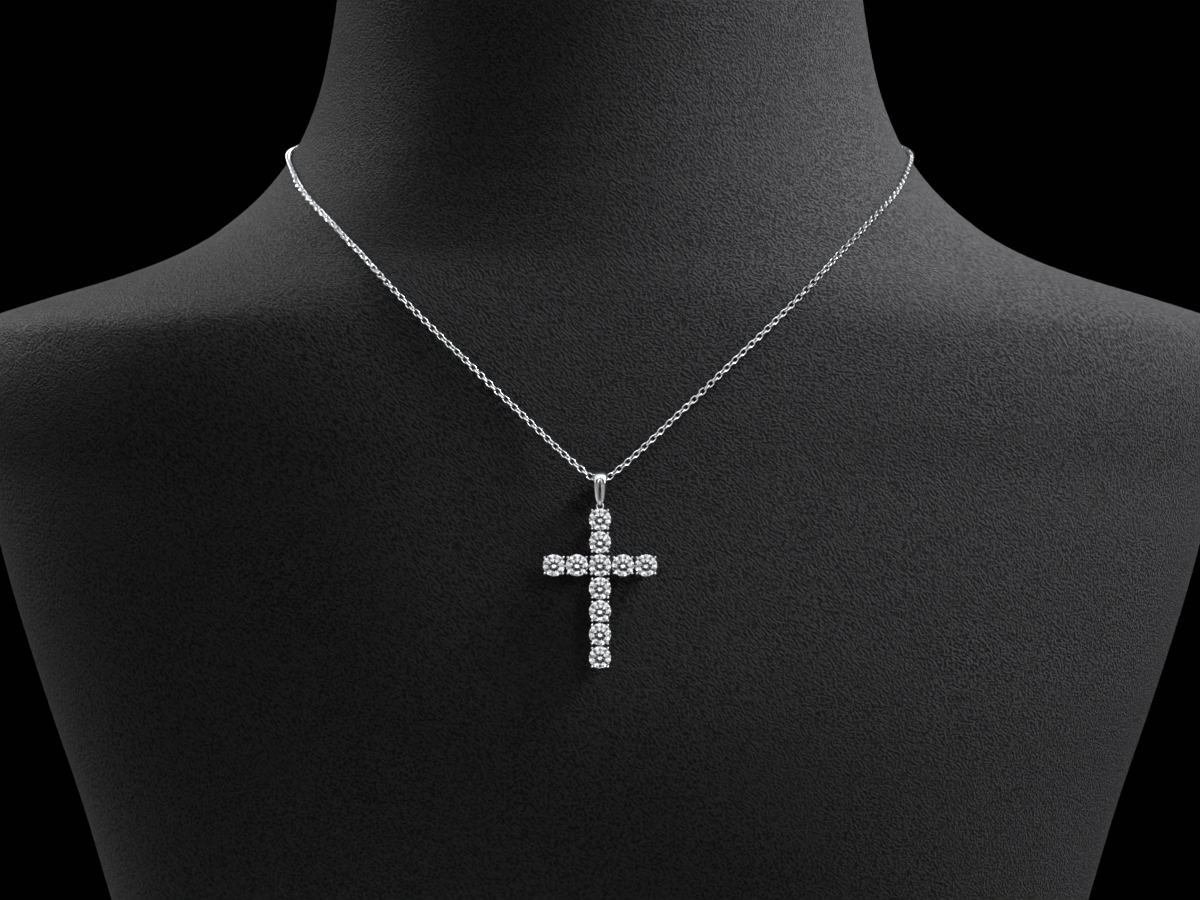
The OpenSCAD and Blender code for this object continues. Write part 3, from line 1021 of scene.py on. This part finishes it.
@dataclass
class SplitBail:
    """The bail: a tapering band of two round lobes with a slit between them, bent to a closed loop."""

    width: float = 2.6
    thick: float = 0.7
    bend: float = 1.9
    foot: float = 0.55
    clear: float = 0.2
    columns: int = 20
    rows: int = 120
    crease: float = 50
    # Level, outer and inner edge of a lobe as shares of the half width, and thickness as a share
    form: Curve = field(default=Curve((
        (-0.20, 0.19, -0.12, 0.55),
        (-0.07, 0.22, -0.12, 0.55),
        (-0.01, 0.34, -0.08, 0.57),
        (0.04, 0.50, -0.02, 0.60),
        (0.09, 0.59, 0.03, 0.64),
        (0.14, 0.64, 0.07, 0.68),
        (0.20, 0.69, 0.10, 0.72),
        (0.38, 0.78, 0.14, 0.81),
        (0.60, 0.87, 0.15, 0.90),
        (0.85, 0.93, 0.10, 0.96),
        (0.98, 0.95, 0.04, 0.99),
        (1.06, 0.96, -0.10, 1.00),
        (1.14, 0.97, -0.40, 1.00),
        (1.26, 0.98, -0.66, 1.00),
        (1.60, 1.00, -0.70, 1.00),
    )))

    def __post_init__(self) -> None:
        """Works out the frame of the bail and the length between its two bends."""
        hang = hinge("bail_swing") - hinge("cross_swing")
        self.length = hang.length
        self.place = placing(hinge("cross_swing"), hang)

    def _line(self, share: float) -> tuple[Vector, Vector]:
        """Middle line of the band.

        Args:
            share: How far round the loop, from 0 to 1, starting in front of the upper bend.

        Returns:
            The point and the outward direction there.
        """
        turn = math.pi / 2 + math.asin((self.bend - self.foot) / self.length)
        leg = math.sqrt(self.length**2 - (self.bend - self.foot) ** 2)
        above, below = (self.length, self.bend), (0, self.foot)
        # Length of each stretch, and the angle, the level and the radius at its start and its end
        stretches = (
            (2 * turn * self.bend, (-turn, *above), (turn, *above)),
            (leg, (turn, *above), (turn, *below)),
            ((math.tau - 2 * turn) * self.foot, (turn, *below), (math.tau - turn, *below)),
            (leg, (-turn, *below), (-turn, *above)),
        )
        way = share * sum(stretch[0] for stretch in stretches)
        i = 0
        while i < len(stretches) - 1 and way >= stretches[i][0]:
            way -= stretches[i][0]
            i += 1
        length, start, end = stretches[i]
        angle, middle, radius = (a + (b - a) * way / length for a, b in zip(start, end))
        out = Vector((0, math.cos(angle), math.sin(angle)))
        return Vector((0, middle, 0)) + out * radius, out

    def _lobe(self, side: int) -> Piece:
        """One of the two lobes.

        Args:
            side: -1 for the left one, 1 for the right one.

        Returns:
            The lobe.
        """

        def where(around: float, along: float) -> Vector:
            """Place of a point of the lobe's skin.

            Args:
                around: Share of the way round the lobe.
                along: Share of the way along the band.

            Returns:
                The point.
            """
            spot, out = self._line(along)
            level = spot.y / self.length
            outer, inner = (self.width / 2 * self.form.at(level, column) for column in (1, 2))
            angle = math.tau * around
            thick = self.thick / 2 * self.form.at(level, 3)
            x = (outer + inner) / 2 + (outer - inner) / 2 * math.cos(angle)
            return spot + ACROSS * side * x + out * thick * math.sin(angle)

        work = bmesh.new()
        add_shell(work, self.columns, self.rows, where, TOUCH)
        return solid("lobe", work)

    def build(self) -> Piece:
        """Fuses the two lobes.

        Returns:
            The bail.
        """
        piece = self._lobe(-1)
        piece.name = "split_bail"
        combine(piece, self._lobe(1), Join.UNION)
        settle(piece, self.place, self.crease)
        return piece

    def dress(self, metal: Material) -> None:
        """Builds the bail and gives it its finish."""
        hand_over(self.build(), Body.BAIL, Slot.METAL, metal, ["bail"])


@dataclass
class RingClasp:
    """The plain round clasp at the nape, with an eye on each side."""

    width: float = 5.5
    wire: float = 1.1
    eye: float = 2
    eye_wire: float = 0.45
    gap: float = 0.3
    # Steps round and sides of the wire, of the ring and of an eye
    ring_steps: tuple[int, int] = (64, 20)
    eye_steps: tuple[int, int] = (32, 12)
    crease: float = 50

    @property
    def half(self) -> float:
        """Distance from the clasp's middle to the far edge of an eye."""
        return self.width / 2 + self.eye - self.eye_wire

    def build(self, bust: DisplayBust, nape: float) -> Piece:
        """Makes the ring and its eyes, lying on the nape.

        Args:
            bust: The bust that it lies on.
            nape: Its height.

        Returns:
            The clasp.
        """
        ring, eyes = bmesh.new(), bmesh.new()
        add_ring(ring, (self.width - self.wire) / 2, self.wire, Matrix.Identity(4), *self.ring_steps)
        radius = (self.eye - self.eye_wire) / 2
        for side in (-1, 1):
            middle = Matrix.Translation((side * (self.width / 2 + radius - self.eye_wire / 2), 0, 0))
            add_ring(eyes, radius, self.eye_wire, middle, *self.eye_steps)
        piece = solid("ring_clasp", ring)
        combine(piece, solid("eyes", eyes), Join.UNION)
        back = math.pi
        out = bust.normal(back, nape)
        place = placing(bust.off(back, nape, self.wire / 2 + self.gap), out.cross(ACROSS))
        settle(piece, place, self.crease)
        return piece

    def dress(self, metal: Material, bust: DisplayBust, nape: float) -> None:
        """Builds the clasp and gives it its finish."""
        hand_over(self.build(bust, nape), Body.ROOT, Slot.METAL, metal, ["clasp"])


@dataclass
class CableChain:
    """The chain: oval links, each turned a quarter from the last, round the neck and through the bail."""

    bust: DisplayBust
    clasp: RingClasp
    bail: SplitBail
    link_length: float = 1.9
    link_width: float = 1.5
    wire: float = 0.36
    slack: float = 0.02
    rest: float = 0.72
    nape_share: float = 0.795
    # Lean of the links in degrees, how far it sways from link to link, and the pace of its two waves
    tilt: float = 24
    sway: float = 9
    sway_pace: Row = (0.37, 0.113)
    # Sweep over which the links turn from facing the front to lying on the neck
    turn_from: float = 75
    turn_to: float = 115
    steps: int = 12
    sides: int = 6
    crease: float = 60
    # Steps in which the chain's line is measured
    course_steps: int = 3200
    # Sweep round the neck in degrees, rise and lift as shares
    route: Curve = field(default=Curve((
        (0, 0, 1), (0.45, 0.0008, 1), (0.9, 0.0033, 1), (1.3, 0.0072, 0.98), (2.5, 0.021, 0.94),
        (5, 0.051, 0.8), (8, 0.089, 0.5), (10.6, 0.123, 0.25), (13.4, 0.16, 0.08), (18.9, 0.233, 0),
        (24.2, 0.307, 0), (29.4, 0.38, 0), (34.6, 0.455, 0), (40, 0.53, 0), (45, 0.592, 0),
        (50, 0.646, 0), (54, 0.688, 0), (58, 0.724, 0), (63, 0.765, 0), (69, 0.81, 0),
        (75, 0.85, 0), (82, 0.882, 0), (92, 0.914, 0), (105, 0.944, 0), (120, 0.966, 0),
        (140, 0.985, 0), (160, 0.996, 0), (180, 1, 0),
    )))

    @property
    def nape(self) -> float:
        """Height of the chain at the back of the neck."""
        return self.nape_share * self.bust.height

    def _at(self, sweep: float) -> tuple[Vector, Vector]:
        """Middle of the chain.

        Args:
            sweep: Degrees round from the front, negative on the left.

        Returns:
            The point, and the direction that the links face there.
        """
        turn = abs(sweep)
        low = hinge("bail_swing").z
        z = low + (self.nape - low) * self.route.at(turn, 1)
        top = self.bail.bend + self.bail.thick / 2 + self.bail.clear
        lift = self.rest + (top - self.rest) * self.route.at(turn, 2)
        angle = math.radians(sweep)
        share = min(max((turn - self.turn_from) / (self.turn_to - self.turn_from), 0), 1)
        facing = self.bust.outward(0).lerp(self.bust.normal(angle, z), share)
        return self.bust.off(angle, z, lift), facing

    def _course(self) -> list[tuple[float, Vector, Vector]]:
        """The chain's line from one eye to the other.

        Returns:
            Its points in order, each with the length up to it and the direction that the links face.
        """
        back = self.bust.radius(math.pi, self.nape) + self.rest
        hook = self.clasp.half - self.clasp.eye_wire - self.wire
        end = 180 - math.degrees(math.atan(hook / back))
        count = self.course_steps
        course, length = [], 0.0
        for i in range(count + 1):
            point, out = self._at(-end + 2 * end * i / count)
            if course:
                length += (point - course[-1][1]).length
            course.append((length, point, out))
        return course

    def _link(self) -> bpy.types.Mesh:
        """One link at the origin.

        Returns:
            The link's mesh, its length along x and its face to z.
        """
        work = bmesh.new()
        radius = (self.link_width - self.wire) / 2
        add_ring(work, radius, self.wire, Matrix.Identity(4), self.steps, self.sides)
        stretch = (self.link_length - self.link_width) / 2
        for vert in work.verts:
            vert.co.x += math.copysign(stretch, vert.co.x)
        mesh = bpy.data.meshes.new("link")
        work.to_mesh(mesh)
        work.free()
        return mesh

    def build(self) -> Piece:
        """Threads the links on their line.

        Returns:
            The chain.
        """
        course = self._course()
        total = course[-1][0]
        pitch = self.link_length - 2 * self.wire - self.slack
        count = 2 * round((total - self.link_length) / pitch / 2) + 1
        pitch = (total - self.link_length) / (count - 1)
        link = self._link()
        work = bmesh.new()
        k = 0
        for i in range(count):
            way = self.link_length / 2 + pitch * i
            while course[k + 1][0] < way and k < len(course) - 2:
                k += 1
            (a, p, out), (b, q, _) = course[k], course[k + 1]
            middle = p.lerp(q, (way - a) / (b - a))
            ahead = (q - p).normalized()
            up = (out - ahead * out.dot(ahead)).normalized()
            turned = Matrix((ahead, up.cross(ahead), up)).transposed().to_4x4()
            sway = self.sway * math.sin(self.sway_pace[0] * i) * math.sin(self.sway_pace[1] * i)
            tilt = Matrix.Rotation(math.radians(self.tilt + sway - 90 * (i % 2)), 4, "X")
            place = Matrix.Translation(middle) @ turned @ tilt
            before = len(work.verts)
            work.from_mesh(link)
            work.verts.ensure_lookup_table()
            bmesh.ops.transform(work, matrix=place, verts=work.verts[before:])
        piece = solid("cable_chain", work)
        settle(piece, Matrix.Identity(4), self.crease)
        log.info("%d links, %.1f mm between the eyes, %.3f mm apart", count, total, pitch)
        return piece

    def dress(self, metal: Material) -> None:
        """Builds the chain and gives it its finish."""
        hand_over(self.build(), Body.ROOT, Slot.METAL, metal, ["chain"])


@dataclass(frozen=True)
class SoftBox:
    """A flat soft light. Places and sizes are metres."""

    name: str
    place: Row
    aim: Row
    size: Row
    radiance: float
    spread: float
    mirrored: bool = False

    def add(self) -> None:
        """Adds the light, hidden from the camera and, unless it is mirrored, from reflections."""
        data = bpy.data.lights.new(self.name, "AREA")
        data.shape = "RECTANGLE"
        data.size, data.size_y = self.size
        data.energy = math.pi * self.radiance * self.size[0] * self.size[1]
        data.spread = math.radians(self.spread)
        light = bpy.data.objects.new(self.name, data)
        light.location = self.place
        light.rotation_euler = (Vector(self.aim) - Vector(self.place)).to_track_quat("-Z", "Y").to_euler()
        light.visible_camera = False
        light.visible_glossy = self.mirrored
        bpy.context.scene.collection.objects.link(light)


@dataclass
class Studio:
    """Camera, lights, floor and backdrop. Places and sizes are metres."""

    eye: Row = (0, -1.164, 0.165)
    lens: float = 165
    near: float = 0.01
    floor_r: float = 0.6
    floor_sides: int = 96
    floor_colour: Row = (0.19, 0.188, 0.185)
    floor_shade: float = 0.93
    floor_rough: float = 0.8
    speckle: float = 600
    # Radiance of the room as the camera sees it, as matt surfaces see it, and of the tent's parts
    backdrop: float = 0.0003
    faint: float = 0.01
    tent: float = 1.7
    tent_back: float = 0.12
    hole: float = 0.02
    tent_colour: Row = (0.95, 0.97, 1.0)
    # Brightness of the tent's left side as a share, and how far to each side the change reaches
    left_share: float = 0.6
    side_turn: float = 0.5
    # Direction of the lens hole, and angles from it at which the tent's wall and the hole begin and end
    hole_at: Row = (0, -1, 0)
    tent_edge: Row = (88, 62)
    hole_edge: Row = (28, 19)
    boxes: tuple[SoftBox, ...] = (
        SoftBox("right_key", (0.6, 0, 0.8), (0.11, 0, 0.27), (0.3, 0.3), 12.5, 28),
        SoftBox("right_top", (0.25, 0, 0.7), (0.1, 0, 0.2), (0.3, 0.3), 1.5, 45),
        SoftBox("right_front", (0.7, -0.5, 0.8), (0.1, 0, 0.28), (0.3, 0.3), 1.0, 24, True),
        SoftBox("left_rim", (-0.45, 0.2, 0.5), (-0.17, 0, 0.17), (0.3, 0.3), 4.2, 36, True),
        SoftBox("left_fill", (-0.8, -0.5, 0.6), (-0.12, 0, 0.2), (0.8, 0.8), 0.2, 45),
        SoftBox("back_box", (0, 1.3, 0.7), (0, 0.06, 0.16), (1.2, 0.7), 1.0, 180),
    )

    def _camera(self) -> None:
        """Places the camera in front, level, as the photograph was taken."""
        data = bpy.data.cameras.new("front")
        data.lens = self.lens
        data.clip_start = self.near
        camera = bpy.data.objects.new("front", data)
        camera.location = self.eye
        camera.rotation_euler = (math.radians(90), 0, 0)
        bpy.context.scene.collection.objects.link(camera)
        bpy.context.scene.camera = camera

    def _floor(self) -> None:
        """Lays a plain pale floor under the bust."""
        work = bmesh.new()
        bmesh.ops.create_circle(work, cap_ends=True, segments=self.floor_sides, radius=self.floor_r / MM)
        floor = solid("floor", work)
        settle(floor, Matrix.Identity(4), None)
        recipe = Recipe("pale_floor")
        speckle = recipe.noise(recipe.coordinates, self.speckle)
        recipe.tint(speckle, self.floor_colour, [c * self.floor_shade for c in self.floor_colour])
        recipe.shader.inputs["Roughness"].default_value = self.floor_rough
        floor.data.materials.append(recipe.material)

    def _backdrop(self) -> None:
        """Puts a light tent with a dark lens hole round the metal and the stones, in a dark room."""
        world = bpy.data.worlds.new("light_tent")
        nodes = NodeSet(world)
        way = nodes.add("ShaderNodeTexCoord").outputs["Generated"]
        aimed = nodes.add("ShaderNodeVectorMath", {0: way, 1: self.hole_at}, operation="DOT_PRODUCT")
        toward = aimed.outputs["Value"]
        wall_ends, hole_ends = ([math.cos(math.radians(angle)) for angle in edge]
                                for edge in (self.tent_edge, self.hole_edge))
        wall = nodes.ramp(toward, *wall_ends, self.tent_back, self.tent)
        across = nodes.add("ShaderNodeSeparateXYZ", {0: way}).outputs["X"]
        side = nodes.ramp(across, -self.side_turn, self.side_turn, self.left_share, 1)
        sided = nodes.add("ShaderNodeMath", {0: wall, 1: side}, operation="MULTIPLY").outputs[0]
        lit = nodes.blend(nodes.ramp(toward, *hole_ends, 0, 1), sided, self.hole)
        ray = nodes.add("ShaderNodeLightPath").outputs
        seen = nodes.blend(ray["Is Diffuse Ray"], lit, self.faint)
        light = nodes.tree.nodes["Background"]
        light.inputs["Color"].default_value = (*self.tent_colour, 1)
        nodes.feed(light.inputs["Strength"], nodes.blend(ray["Is Camera Ray"], seen, self.backdrop))
        bpy.context.scene.world = world

    def set_up(self) -> None:
        """Adds everything round the object."""
        self._camera()
        self._floor()
        self._backdrop()
        for box in self.boxes:
            box.add()
        bpy.context.scene.view_settings.view_transform = "Standard"


def main() -> None:
    """Builds and dresses every piece, in order."""
    logging.basicConfig(level=logging.INFO, format="%(message)s")
    Studio().set_up()
    bust, bail, clasp = DisplayBust(), SplitBail(), RingClasp()
    chain = CableChain(bust, clasp, bail)
    polished = POLISHED.material()
    bust.dress(BlackLeatherette())
    chain.dress(polished)
    clasp.dress(polished, bust, chain.nape)
    bail.dress(polished)
    # The setting gets the darker copy of the metal, as painted shade
    StoneCross().dress(SHADED_SETTING_METAL.material(), ClearStone().material())


if __name__ == "__main__":
    main()
